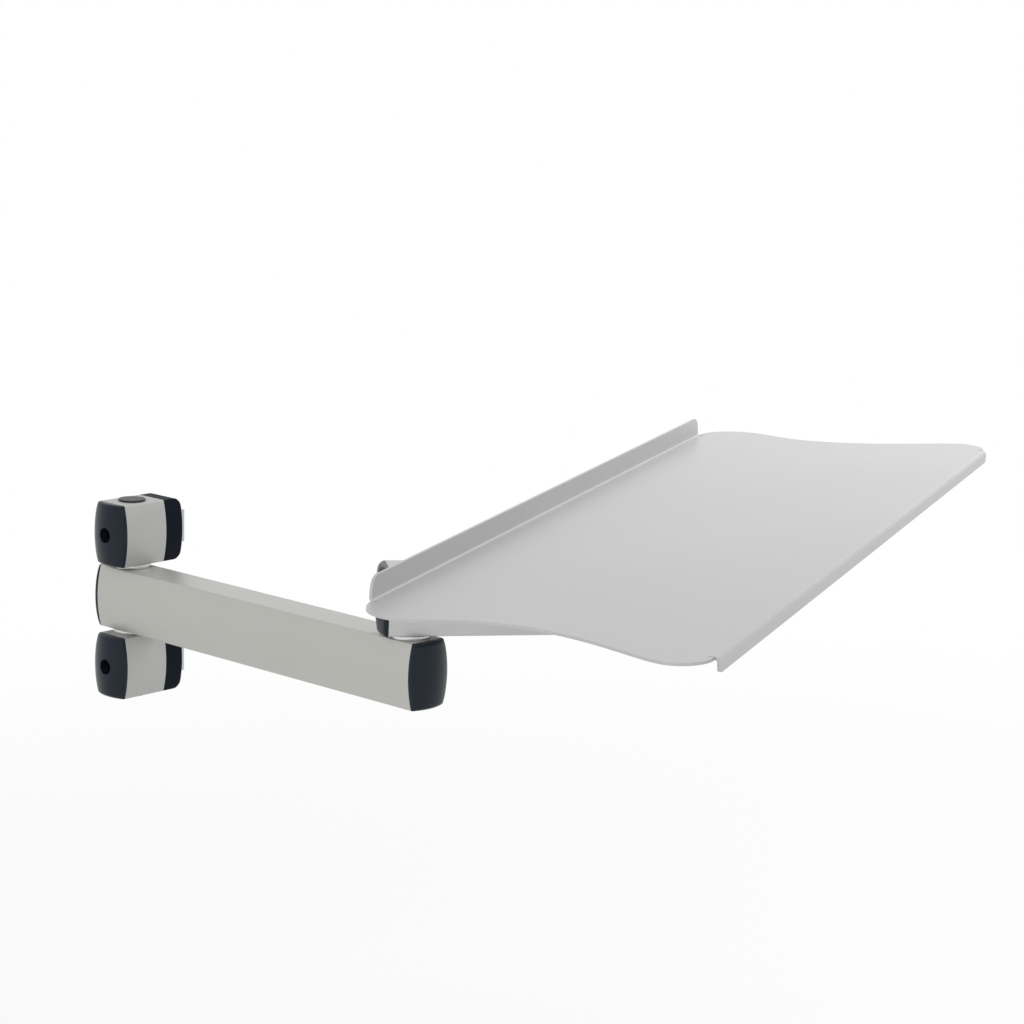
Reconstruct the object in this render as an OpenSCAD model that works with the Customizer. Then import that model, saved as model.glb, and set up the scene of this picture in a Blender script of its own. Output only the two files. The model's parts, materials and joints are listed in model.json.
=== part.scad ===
// Swing-arm keyboard tray, millimetres, +Z up.
// Origin: on the face that the clamp seats on, midway between the two clamp screws.
// The clamp stands out along -Y, the first arm runs along +X, and the tray is carried by a second arm.

/* [Hollow section] */
// height of the barrel-shaped section that blocks and arms share
sec_h = 38.4; // [32:0.2:46]
// width of the section across its flat top
sec_w = 23.2; // [20:0.2:30]
// how far each side of the section bulges past the edge of its top
sec_bulge = 2.8; // [1.4:0.1:4]
// wall of the hollow arms
sec_wall = 2.4; // [1.8:0.1:3.2]

/* [Clamp] */
// length of each clamp block, from its spacer to its front cap
block_len = 30.6; // [27:0.2:40]
// length of the black spacer behind each block
spacer_len = 13.2; // [8:0.2:20]
// rounding of the spacer's edges at the mounting face
spacer_round = 5; // [2:0.5:7]
// diameter of the key hole in each front cap
key_hole_d = 9.3; // [7:0.1:11]
// thread diameter of the two clamp screws
clamp_screw_d = 8; // [6:0.5:8]
// diameter of a clamp screw's head
clamp_head_d = 13; // [12:0.2:14]
// height of a clamp screw's head
clamp_head_h = 4.6; // [3.6:0.1:5]
// width of the mounting slot that the nuts run in
slot_w = 8; // [8:0.1:10]
// thickness of the slot's lips that a nut grips behind
slot_lip = 2.2; // [1:0.1:4]
// width of a slot nut behind the lips
nut_w = 14; // [13:0.5:18]
// thickness of a slot nut behind the lips
nut_t = 5; // [4:0.2:8]
// length of a slot nut along its slot
nut_len = 20; // [14:1:30]
// how far a clamp screw stands out past its slot nut
screw_out = 1; // [0.5:0.5:4]

/* [End caps] */
// straight edge of each end cap
cap_edge = 2.5; // [0.6:0.1:3]
// how far each end cap is domed from side to side
cap_dome = 4; // [3:0.1:6]
// how far each end cap is domed from top to bottom
cap_crown = 1.6; // [1:0.1:2.4]
// rounding of the end caps' upper and lower edges
cap_round = 2; // [1:0.1:2.4]
// wall of the tongue that holds a cap in its hollow section
tongue_wall = 1.6; // [1:0.1:2.4]
// depth of the tongue that holds a front cap in its block
block_tongue = 3; // [2:0.1:4]

/* [Pivots] */
// diameter of the cross-drilled pin that stands through both clamp blocks
pin_d = 14; // [12:0.1:15]
// wall of the plastic bush that the first arm turns on
pin_bush_wall = 2; // [1.2:0.1:3]
// diameter of the bolts at the elbow and under the tray
bolt_d = 10; // [8:0.1:11]
// diameter of the heads and round nuts of those bolts
bolt_head_d = 14; // [12.6:0.1:14.4]
// height of those heads and nuts
bolt_head_h = 4.5; // [3:0.1:5]
// wall of the plastic bushes on those bolts
bolt_bush_wall = 1.5; // [1:0.1:2]
// thickness of the bright friction discs
disc_t = 2.6; // [1.6:0.1:5]
// how much narrower than the section's flat top the friction discs are
disc_inset = 0.1; // [0:0.1:2]
// diameter of the black plugs over the pivots
plug_d = 16.6; // [15.6:0.1:18]
// height of a plug's rim above the metal
plug_rim = 1.1; // [0.6:0.1:2]
// bevel round the top of a plug's rim
plug_bevel = 0.4; // [0.2:0.1:0.6]
// length of the solid core inside an arm at each pivot
core_len = 21; // [20:0.5:23]

/* [Arms] */
// first arm, from the clamp's axis to the elbow
arm_reach = 242; // [170:1:320]
// first arm, metal past the clamp's axis
arm_tail = 15.8; // [15:0.2:22]
// first arm, metal past the elbow
arm_nose = 12.6; // [12.6:0.2:22]
// second arm, from the elbow to the tray's axis
link_reach = 173.4; // [130:1:190]
// second arm, metal past the elbow
link_tail = 14; // [12.6:0.2:22]
// second arm, metal past the tray's axis
link_nose = 14.6; // [12.6:0.2:22]
// direction of the second arm, turned from the first
link_turn = 51.6; // [0:0.1:90]
// direction of the tray's long side, turned from the first arm
tray_turn = 112.6; // [60:0.1:150]

/* [Tray] */
// thickness of the tray's sheet
sheet_t = 1.5; // [1:0.1:2.5]
// distance from the rear bend to the front fold
tray_depth = 185.3; // [150:1:240]
// width over the widest point of the front corners
tray_front_w = 650.6; // [620:1:760]
// width over the rear corners
tray_rear_w = 601; // [580:1:700]
// width at the waist of the curved ends
tray_waist_w = 576; // [560:0.2:680]
// length of the rear lip at its bend
rear_lip_len = 544.6; // [480:0.2:552]
// height of the rear lip above the tray
rear_lip_h = 11.9; // [8:0.1:30]
// rounding of the rear lip's upper corners
rear_lip_round = 8; // [2:0.5:8]
// length of the front lip
front_lip_len = 613; // [540:1:615]
// depth of the front lip below the tray's top
front_lip_h = 7.5; // [5:0.1:20]
// rounding of the front lip's lower corners
front_lip_round = 3.5; // [1:0.1:4]
// inside radius of the sheet's bends
bend_r = 1.2; // [0.5:0.1:2]
// width of the relief beside each bend
relief_w = 2.6; // [1:0.1:4]
// depth of the relief beside each bend
relief_d = 3; // [1:0.1:5]
// distance of the widest point of the rear corners in front of the rear bend
rear_corner = 24; // [12:1:34]
// distance of the waist in front of the rear bend
waist_at = 72; // [56:1:84]
// distance of the widest point of the front corners behind the front fold
front_corner = 19.4; // [10:0.1:26]
// distance of the tray's axis in front of the rear bend
axis_in = 95.4; // [80:0.1:110]

/* [Tray bracket] */
// height of the folded bracket between the second arm and the tray
bracket_h = 19.7; // [16:0.1:40]
// thickness of the bracket's steel
bracket_t = 3; // [2:0.1:4]
// width of the bracket's floor
floor_w = 64; // [50:1:90]
// width of each of the bracket's flanges
flange_w = 26; // [20:0.5:40]
// length of the bracket from the tray's rear to its front
bracket_len = 90; // [70:1:150]
// distance between the fixing studs along the bracket
stud_span = 64; // [40:1:66]
// diameter of the welded studs under the tray
stud_d = 5; // [4:0.1:6]
// width across the flats of the nuts on those studs
stud_nut_w = 8; // [8:0.1:10]
// height of the nuts on those studs
stud_nut_h = 4; // [3:0.1:5]
// how far each stud stands out past its nut
stud_out = 1.5; // [1:0.1:2.5]

/* [Fits] */
// clearance round a shaft that turns in a bush
run_fit = 0.05; // [0.02:0.01:0.1]
// clearance between faces that slide over each other
face_fit = 0.05; // [0.02:0.01:0.2]
// clearance round pieces that are pushed or bolted together
seat_fit = 0.1; // [0.05:0.01:0.2]
// clearance round the shank of a clamp screw
screw_fit = 0.3; // [0.1:0.05:0.5]

/* [Hidden] */
$fn = 96;
cut = 1;
socket_d = 6;
head_sink = 1.2;
nut_room = 1.5;
bush_rim = 2;
bush_flange_d = bolt_head_d + 2 * bush_rim;
bush_flange_t = 1.2;
bracket_corner = 6;
barrel_r = (sec_h * sec_h / 4 + sec_bulge * sec_bulge) / (2 * sec_bulge);
barrel_off = barrel_r - sec_w / 2 - sec_bulge;
side_y = sec_w / 2 + sec_bulge;
cap_len = cap_edge + cap_dome;
dome_r = (side_y * side_y + cap_dome * cap_dome) / (2 * cap_dome);
crown_r = (sec_h * sec_h / 4 + cap_crown * cap_crown) / (2 * cap_crown);
disc_d = sec_w - disc_inset;
pivot_out = spacer_len + block_len / 2;
block_front = spacer_len + block_len;
stack = disc_t + face_fit;
block_z = sec_h + stack;
block_top = block_z + sec_h / 2;
pin_bush_d = pin_d + 2 * run_fit + 2 * pin_bush_wall;
bolt_bush_d = bolt_d + 2 * run_fit + 2 * bolt_bush_wall;
access_d = bolt_head_d + 2 * seat_fit;
arm_top = sec_h / 2;
link_z = sec_h + stack;
link_top = link_z + sec_h / 2;
bracket_z = link_top + stack;
tray_under = bracket_z + bracket_h;
tray_top = tray_under + sheet_t;
elbow = [arm_reach, -pivot_out, 0];
tray_axis = elbow + link_reach * [cos(link_turn), sin(link_turn), 0];
plug_stem = sec_wall - seat_fit;
head_seat = block_front - clamp_head_h - head_sink;
screw_end = slot_lip + nut_t + screw_out;
bolt_low = sec_wall + seat_fit - arm_top;
nut_low = link_top - sec_wall - seat_fit - bolt_head_h;
head_low = bracket_z + bracket_t + bush_flange_t + face_fit;
bend_o = bend_r + sheet_t;
rear_y = axis_in;
front_y = axis_in - tray_depth;
stud_x = floor_w / 2 + flange_w / 2;
bracket_r = 1.5;
bracket_ro = bracket_r + bracket_t;
steps = 14;

// section and pieces cut from it

// Solid of the barrel section along +X, drawn in by inset all round.
module barrel(len, inset = 0) {
    intersection() {
        translate([0, -side_y, inset - sec_h / 2])
            cube([len, 2 * side_y, sec_h - 2 * inset]);
        barrel_side(len, inset, 1);
        barrel_side(len, inset, -1);
    }
}

// Cylinder whose wall is the bulging side that faces s.
module barrel_side(len, inset, s) {
    translate([-cut, -s * barrel_off, 0])
        rotate([0, 90, 0])
            cylinder(h = len + 2 * cut, r = barrel_r - inset, $fn = 360);
}

// Profile that a cap's dome turns out: an arc from top to bottom, with its corners rounded.
module crown() {
    corner_z = sec_h / 2 - cap_round;
    corner_x = dome_r - crown_r + sqrt(pow(crown_r - cap_round, 2) - pow(corner_z, 2));
    meet_z = corner_z * crown_r / (crown_r - cap_round);
    intersection() {
        translate([dome_r - crown_r, 0])
            circle(r = crown_r, $fn = 360);
        translate([0, -meet_z])
            square([dome_r + cut, 2 * meet_z]);
    }
    translate([0, -sec_h / 2])
        square([corner_x, sec_h]);
    for (s = [-1, 1])
        translate([corner_x, s * corner_z])
            circle(r = cap_round);
}

// Domed cap on a section's end: its back at x = 0, its dome towards +X.
module end_cap() {
    intersection() {
        barrel(cap_len);
        translate([cap_len - dome_r, 0, 0])
            rotate_extrude($fn = 180)
                crown();
    }
}

// Cap for a hollow arm, with the open tongue that grips inside the walls as far as the core.
module arm_cap(overhang) {
    tongue_len = overhang - core_len / 2 - seat_fit;
    inner = sec_wall + seat_fit;
    end_cap();
    difference() {
        translate([-tongue_len, 0, 0])
            barrel(tongue_len, inner);
        translate([-tongue_len - cut, 0, 0])
            barrel(tongue_len + cut, inner + tongue_wall);
    }
}

// Hollow arm about its first axis at x = 0, with a second axis at reach.
module hollow_arm(tail, reach, nose) {
    difference() {
        translate([-tail, 0, 0])
            barrel(tail + reach + nose);
        translate([-tail - cut, 0, 0])
            barrel(tail + reach + nose + 2 * cut, sec_wall);
    }
}

// Solid core that fills the hollow of an arm round an axis.
module core() {
    translate([-core_len / 2, 0, 0])
        barrel(core_len, sec_wall + seat_fit);
}

// Plug over a hole in the metal: rim above z = 0, stem below it.
module plug(stem_d) {
    cylinder(h = plug_rim - plug_bevel, d = plug_d);
    translate([0, 0, plug_rim - plug_bevel])
        cylinder(h = plug_bevel, d1 = plug_d, d2 = plug_d - 2 * plug_bevel);
    translate([0, 0, -plug_stem])
        cylinder(h = plug_stem, d = stem_d - 2 * seat_fit);
}

module disc(bore) {
    difference() {
        cylinder(h = disc_t, d = disc_d);
        translate([0, 0, -cut])
            cylinder(h = disc_t + 2 * cut, d = bore);
    }
}

module bore(d, z0, z1) {
    translate([0, 0, z0])
        cylinder(h = z1 - z0, d = d);
}

// places

// Out from the mounting face, so that +X of what is placed here points along the clamp's -Y.
module at_block(side) {
    translate([0, 0, side * block_z])
        rotate([0, 0, -90])
            children();
}

module at_clamp_axis() {
    translate([0, -pivot_out, 0])
        children();
}

module at_link() {
    translate(elbow + [0, 0, link_z])
        rotate([0, 0, link_turn])
            children();
}

module at_tray() {
    translate(tray_axis)
        rotate([0, 0, tray_turn])
            children();
}

// clamp

module block(side) {
    color([0.72, 0.72, 0.70])
        at_block(side)
            difference() {
                translate([spacer_len, 0, 0])
                    barrel(block_len);
                translate([block_front - block_tongue, 0, 0])
                    barrel(block_tongue + cut, sec_wall);
                rotate([0, 90, 0])
                    bore(clamp_screw_d + 2 * screw_fit, 0, block_front + cut);
                rotate([0, 90, 0])
                    bore(clamp_head_d + 2 * screw_fit, head_seat, block_front + cut);
                translate([pivot_out, 0, 0])
                    bore(pin_d + 2 * seat_fit, -sec_h, sec_h);
            }
}

module upper_block() {
    block(1);
}

module lower_block() {
    block(-1);
}

module front_cap(side) {
    tongue = sec_wall + seat_fit;
    color([0.16, 0.17, 0.20])
        at_block(side)
            translate([block_front, 0, 0])
                difference() {
                    union() {
                        end_cap();
                        translate([seat_fit - block_tongue, 0, 0])
                            barrel(block_tongue - seat_fit + cap_edge / 2, tongue);
                    }
                    translate([-block_tongue - cut, 0, 0])
                        rotate([0, 90, 0])
                            cylinder(h = block_tongue + cut, d = clamp_head_d + 2 * screw_fit);
                    rotate([0, 90, 0])
                        bore(key_hole_d, -cut, cap_len + cut);
                }
}

module upper_front_cap() {
    front_cap(1);
}

module lower_front_cap() {
    front_cap(-1);
}

// Block with its edges at x = 0 rounded top and bottom.
module round_end(len, r) {
    translate([r, -side_y, -sec_h / 2])
        cube([len - r, 2 * side_y, sec_h]);
    translate([0, -side_y, r - sec_h / 2])
        cube([len, 2 * side_y, sec_h - 2 * r]);
    for (s = [-1, 1])
        translate([r, side_y, s * (sec_h / 2 - r)])
            rotate([90, 0, 0])
                cylinder(h = 2 * side_y, r = r);
}

module spacer(side) {
    color([0.09, 0.10, 0.13])
        at_block(side)
            difference() {
                intersection() {
                    barrel(spacer_len);
                    round_end(spacer_len, spacer_round);
                }
                rotate([0, 90, 0])
                    bore(clamp_screw_d + 2 * screw_fit, -cut, spacer_len + cut);
            }
}

module upper_spacer() {
    spacer(1);
}

module lower_spacer() {
    spacer(-1);
}

// Socket screw from the block's counterbore, through the pin, to its nut.
module clamp_screw() {
    difference() {
        rotate([0, 90, 0])
            union() {
                bore(clamp_screw_d, -screw_end, head_seat);
                bore(clamp_head_d, head_seat, head_seat + clamp_head_h);
            }
        translate([head_seat + clamp_head_h / 2, 0, 0])
            rotate([0, 90, 0])
                cylinder(h = clamp_head_h, d = socket_d, $fn = 6);
    }
}

module clamp_screws() {
    color([0.55, 0.56, 0.58])
        for (side = [-1, 1])
            at_block(side)
                clamp_screw();
}

// Nut whose neck stands in the mounting slot, with its body behind the slot's lips.
module slot_nuts() {
    neck = slot_w - 2 * seat_fit;
    back = slot_lip + seat_fit + nut_t;
    color([0.62, 0.63, 0.64])
        for (side = [-1, 1])
            at_block(side)
                difference() {
                    translate([-back, 0, -nut_len / 2]) {
                        translate([0, -neck / 2, 0])
                            cube([back, neck, nut_len]);
                        translate([0, -nut_w / 2, 0])
                            cube([nut_t, nut_w, nut_len]);
                    }
                    rotate([0, 90, 0])
                        bore(clamp_screw_d, -screw_end - 2 * cut, cut);
                }
}

// Pin that both clamp screws pass through, so that it can't turn or drop.
module pivot_pin() {
    color([0.60, 0.61, 0.62])
        at_clamp_axis()
            difference() {
                bore(pin_d, sec_wall - block_top, block_top - sec_wall);
                for (side = [-1, 1])
                    translate([0, pin_d, side * block_z])
                        rotate([90, 0, 0])
                            cylinder(h = 2 * pin_d, d = clamp_screw_d + 2 * screw_fit);
            }
}

module clamp_discs() {
    color([0.86, 0.86, 0.87])
        at_clamp_axis()
            for (side = [-1, 1])
                translate([0, 0, side > 0 ? arm_top + face_fit : -arm_top - stack])
                    disc(pin_d + 2 * seat_fit);
}

module clamp_plugs() {
    color([0.10, 0.10, 0.11])
        at_clamp_axis()
            for (side = [0, 1])
                mirror([0, 0, side])
                    translate([0, 0, block_top])
                        plug(pin_d);
}

// first arm

module arm_tube() {
    color([0.74, 0.74, 0.71])
        translate([0, -pivot_out, 0])
            difference() {
                hollow_arm(arm_tail, arm_reach, arm_nose);
                bore(pin_bush_d + 2 * seat_fit, -sec_h, sec_h);
                translate([arm_reach, 0, 0]) {
                    bore(bolt_d + 2 * seat_fit, 0, sec_h);
                    bore(access_d, -sec_h, 0);
                }
            }
}

module arm_inner_cap() {
    color([0.14, 0.15, 0.18])
        translate([-arm_tail, -pivot_out, 0])
            mirror([1, 0, 0])
                arm_cap(arm_tail);
}

module arm_outer_cap() {
    color([0.14, 0.15, 0.18])
        translate([arm_reach + arm_nose, -pivot_out, 0])
            arm_cap(arm_nose);
}

module arm_cores() {
    color([0.50, 0.51, 0.52])
        at_clamp_axis() {
            difference() {
                core();
                bore(pin_bush_d + 2 * seat_fit, -sec_h, sec_h);
            }
            translate([arm_reach, 0, 0])
                difference() {
                    core();
                    bore(bolt_d + 2 * seat_fit, -sec_h, sec_h);
                    bore(access_d, -sec_h, bolt_low + bolt_head_h);
                }
        }
}

// Plastic bush that fills the first arm from face to face round the clamp's pin.
module arm_bush() {
    color([0.85, 0.84, 0.78])
        at_clamp_axis()
            difference() {
                bore(pin_bush_d, -arm_top, arm_top);
                bore(pin_d + 2 * run_fit, -sec_h, sec_h);
            }
}

module arm_plug() {
    color([0.10, 0.10, 0.11])
        translate(elbow - [0, 0, arm_top])
            mirror([0, 0, 1])
                plug(access_d);
}

// elbow

module elbow_disc() {
    color([0.86, 0.86, 0.87])
        translate(elbow + [0, 0, arm_top])
            disc(bolt_d + 2 * seat_fit);
}

module elbow_bolt() {
    color([0.60, 0.61, 0.62])
        translate(elbow)
            difference() {
                union() {
                    bore(bolt_head_d, bolt_low, bolt_low + bolt_head_h);
                    bore(bolt_d, bolt_low, nut_low + bolt_head_h);
                }
                bore(socket_d, bolt_low - cut, bolt_low + bolt_head_h / 2);
            }
}

module elbow_nut() {
    color([0.60, 0.61, 0.62])
        translate(elbow)
            difference() {
                bore(bolt_head_d, nut_low, nut_low + bolt_head_h);
                bore(bolt_d, nut_low - cut, nut_low + bolt_head_h + cut);
            }
}

// second arm

module link_tube() {
    color([0.74, 0.74, 0.71])
        at_link()
            difference() {
                hollow_arm(link_tail, link_reach, link_nose);
                bore(bolt_bush_d + 2 * seat_fit, -sec_h, 0);
                bore(access_d, 0, sec_h);
                translate([link_reach, 0, 0]) {
                    bore(bolt_d + 2 * seat_fit, 0, sec_h);
                    bore(access_d, -sec_h, 0);
                }
            }
}

module link_inner_cap() {
    color([0.14, 0.15, 0.18])
        at_link()
            translate([-link_tail, 0, 0])
                mirror([1, 0, 0])
                    arm_cap(link_tail);
}

module link_outer_cap() {
    color([0.14, 0.15, 0.18])
        at_link()
            translate([link_reach + link_nose, 0, 0])
                arm_cap(link_nose);
}

module link_cores() {
    color([0.50, 0.51, 0.52])
        at_link() {
            difference() {
                core();
                bore(bolt_bush_d + 2 * seat_fit, -sec_h, sec_h);
                bore(bolt_head_d + nut_room, nut_low - face_fit - link_z, sec_h);
            }
            translate([link_reach, 0, 0])
                difference() {
                    core();
                    bore(bolt_d + 2 * seat_fit, -sec_h, sec_h);
                    bore(access_d, -sec_h, bolt_low + bolt_head_h);
                }
        }
}

module link_bush() {
    color([0.85, 0.84, 0.78])
        translate(elbow)
            difference() {
                bore(bolt_bush_d, link_z - sec_h / 2, nut_low - face_fit);
                bore(bolt_d + 2 * run_fit, 0, 2 * sec_h);
            }
}

module link_plugs() {
    color([0.10, 0.10, 0.11])
        at_link() {
            translate([0, 0, sec_h / 2])
                plug(access_d);
            translate([link_reach, 0, -sec_h / 2])
                mirror([0, 0, 1])
                    plug(access_d);
        }
}

module tray_disc() {
    color([0.86, 0.86, 0.87])
        translate(tray_axis + [0, 0, link_top])
            disc(bolt_d + 2 * seat_fit);
}

module tray_bolt() {
    color([0.60, 0.61, 0.62])
        translate(tray_axis)
            difference() {
                union() {
                    bore(bolt_d, link_z + bolt_low, head_low + bolt_head_h);
                    bore(bolt_head_d, head_low, head_low + bolt_head_h);
                }
                bore(socket_d, head_low + bolt_head_h / 2, head_low + bolt_head_h + cut);
            }
}

module tray_nut() {
    color([0.60, 0.61, 0.62])
        translate(tray_axis + [0, 0, link_z + bolt_low])
            difference() {
                bore(bolt_head_d, 0, bolt_head_h);
                bore(bolt_d, -cut, bolt_head_h + cut);
            }
}

// tray

// Quarter of a bend in a sheet of thickness t, in the quadrant that (qx, qy) points to.
module bend(t, r, qx, qy) {
    intersection() {
        difference() {
            circle(r = r + t);
            circle(r = r);
        }
        translate([min(0, qx) * (r + t + cut), min(0, qy) * (r + t + cut)])
            square(r + t + cut);
    }
}

// Outline of half the bracket: floor, standing web and outward flange.
module half_hat() {
    square([floor_w / 2 - bracket_ro, bracket_t]);
    translate([floor_w / 2 - bracket_ro, bracket_ro])
        bend(bracket_t, bracket_r, 1, -1);
    translate([floor_w / 2 - bracket_t, bracket_ro])
        square([bracket_t, bracket_h - 2 * bracket_ro]);
    translate([floor_w / 2 + bracket_r, bracket_h - bracket_ro])
        bend(bracket_t, bracket_r, -1, 1);
    translate([floor_w / 2 + bracket_r, bracket_h - bracket_t])
        square([flange_w - bracket_r, bracket_t]);
}

// Plate with rounded corners, centred on the axis.
module round_plate(l, w, r, h) {
    cube([l - 2 * r, w, h], center = true);
    cube([l, w - 2 * r, h], center = true);
    for (sx = [-1, 1], sy = [-1, 1])
        translate([sx * (l / 2 - r), sy * (w / 2 - r), 0])
            cylinder(h = h, r = r, center = true);
}

module at_studs() {
    for (sx = [-1, 1], sy = [-1, 1])
        translate([sx * stud_x, sy * stud_span / 2, 0])
            children();
}

module tray_bracket() {
    full = floor_w + 2 * flange_w;
    color([0.30, 0.31, 0.33])
        at_tray()
            difference() {
                intersection() {
                    translate([0, bracket_len / 2, bracket_z])
                        rotate([90, 0, 0])
                            linear_extrude(height = bracket_len)
                                for (s = [0, 1])
                                    mirror([s, 0])
                                        half_hat();
                    translate([0, 0, bracket_z + bracket_h / 2])
                        round_plate(full, bracket_len, bracket_corner, 2 * bracket_h);
                }
                bore(bolt_bush_d + 2 * seat_fit, bracket_z - cut, bracket_z + bracket_t + cut);
                at_studs()
                    bore(stud_d + 2 * seat_fit, tray_under - bracket_t - cut, tray_under + cut);
            }
}

module bracket_bush() {
    color([0.85, 0.84, 0.78])
        translate(tray_axis)
            difference() {
                union() {
                    bore(bolt_bush_d, bracket_z, bracket_z + bracket_t);
                    bore(bush_flange_d, bracket_z + bracket_t, head_low - face_fit);
                }
                bore(bolt_d + 2 * run_fit, bracket_z - cut, head_low + cut);
            }
}

module bracket_nuts() {
    z1 = tray_under - bracket_t;
    color([0.66, 0.67, 0.68])
        at_tray()
            at_studs()
                difference() {
                    translate([0, 0, z1 - stud_nut_h])
                        cylinder(h = stud_nut_h, d = stud_nut_w / cos(30), $fn = 6);
                    bore(stud_d, z1 - stud_nut_h - cut, z1 + cut);
                }
}

// Point at t on a cubic curve.
function curve(a, b, c, d, t) =
    pow(1 - t, 3) * a + 3 * t * pow(1 - t, 2) * b + 3 * t * t * (1 - t) * c + pow(t, 3) * d;

// Points of one stretch, without its first.
function stretch(a, b, c, d) = [for (i = [1 : steps]) curve(a, b, c, d, i / steps)];

// Right-hand end of the sheet: rear corner, waist and front corner, as distance out and from the rear bend.
rear_end = [rear_lip_len / 2 + relief_w, 0];
rear_out = [tray_rear_w / 2, rear_corner];
waist_in = [tray_waist_w / 2, waist_at];
front_out = [tray_front_w / 2, tray_depth - front_corner];
front_end = [front_lip_len / 2 + relief_w, tray_depth - bend_o];
to_waist = waist_at - rear_corner;
to_front = front_out[1] - waist_at;
end_curve = concat(
    [rear_end],
    stretch(rear_end, rear_end + [0.55 * (rear_out[0] - rear_end[0]), 0], rear_out - [0, 0.55 * rear_corner], rear_out),
    stretch(rear_out, rear_out + [0, 0.39 * to_waist], waist_in - [0, 0.48 * to_waist], waist_in),
    stretch(waist_in, waist_in + [0, 0.47 * to_front], front_out - [0, 0.16 * to_front], front_out),
    stretch(front_out, front_out + [0, 0.55 * (front_end[1] - front_out[1])],
        front_end + [0.5 * (front_out[0] - front_end[0]), 0], front_end)
);

// Half of the flat sheet, from the middle to its right-hand end.
module half_flat() {
    edge_x = (rear_lip_len + relief_w) / 2;
    polygon(concat(
        [[0, front_y + bend_o], [0, rear_y - bend_r], [edge_x, rear_y - bend_r], [edge_x, rear_y]],
        [for (p = end_curve) [p[0], rear_y - p[1]]]
    ));
}

// Round-ended slot that frees the end of a bend from the sheet beside it.
module relief(x, y, dir) {
    translate([x + relief_w / 2, y - dir * (relief_d - relief_w / 2), tray_under - cut]) {
        cylinder(h = sheet_t + 2 * cut, d = relief_w);
        translate([-relief_w / 2, dir > 0 ? 0 : -2 * relief_d, 0])
            cube([relief_w, 2 * relief_d, sheet_t + 2 * cut]);
    }
}

// Lip with its two free corners rounded, standing on y = 0 from z = 0 to h.
module lip(len, h, r) {
    rotate([90, 0, 0])
        linear_extrude(height = sheet_t) {
            translate([-len / 2, 0])
                square([len, h - r]);
            translate([r - len / 2, 0])
                square([len - 2 * r, h]);
            for (s = [-1, 1])
                translate([s * (len / 2 - r), h - r])
                    circle(r = r);
        }
}

module tray_sheet() {
    rear_rise = rear_lip_h - bend_r;
    front_drop = front_lip_h - bend_o;
    color([0.80, 0.80, 0.79])
        at_tray() {
            difference() {
                translate([0, 0, tray_under])
                    linear_extrude(height = sheet_t)
                        for (s = [0, 1])
                            mirror([s, 0])
                                half_flat();
                for (s = [0, 1])
                    mirror([s, 0, 0]) {
                        relief(rear_lip_len / 2, rear_y - bend_r, 1);
                        relief(front_lip_len / 2, front_y + bend_o, -1);
                    }
            }
            translate([-rear_lip_len / 2, rear_y - bend_r, tray_top + bend_r])
                rotate([90, 0, 90])
                    linear_extrude(height = rear_lip_len)
                        bend(sheet_t, bend_r, 1, -1);
            translate([0, rear_y + sheet_t, tray_top + bend_r])
                lip(rear_lip_len, rear_rise, min(rear_lip_round, rear_rise));
            translate([-front_lip_len / 2, front_y + bend_o, tray_under - bend_r])
                rotate([90, 0, 90])
                    linear_extrude(height = front_lip_len)
                        bend(sheet_t, bend_r, -1, 1);
            translate([0, front_y + sheet_t, tray_under - bend_r])
                rotate([0, 180, 0])
                    lip(front_lip_len, front_drop, min(front_lip_round, front_drop));
            at_studs()
                bore(stud_d, tray_under - bracket_t - stud_nut_h - stud_out, tray_under);
        }
}

upper_block();
lower_block();
upper_front_cap();
lower_front_cap();
upper_spacer();
lower_spacer();
clamp_screws();
slot_nuts();
pivot_pin();
clamp_discs();
clamp_plugs();
arm_tube();
arm_inner_cap();
arm_outer_cap();
arm_cores();
arm_bush();
arm_plug();
elbow_disc();
elbow_bolt();
elbow_nut();
link_tube();
link_inner_cap();
link_outer_cap();
link_cores();
link_bush();
link_plugs();
tray_disc();
tray_bolt();
tray_nut();
tray_bracket();
bracket_bush();
bracket_nuts();
tray_sheet();
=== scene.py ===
# Keyboard tray on a swing arm: a clamp of two blocks, two hollow arms and a folded sheet-metal tray.
# Metres, +Z up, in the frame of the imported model.
import json

import bmesh
import bpy
import numpy as np
from mathutils import Matrix, Vector


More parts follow.
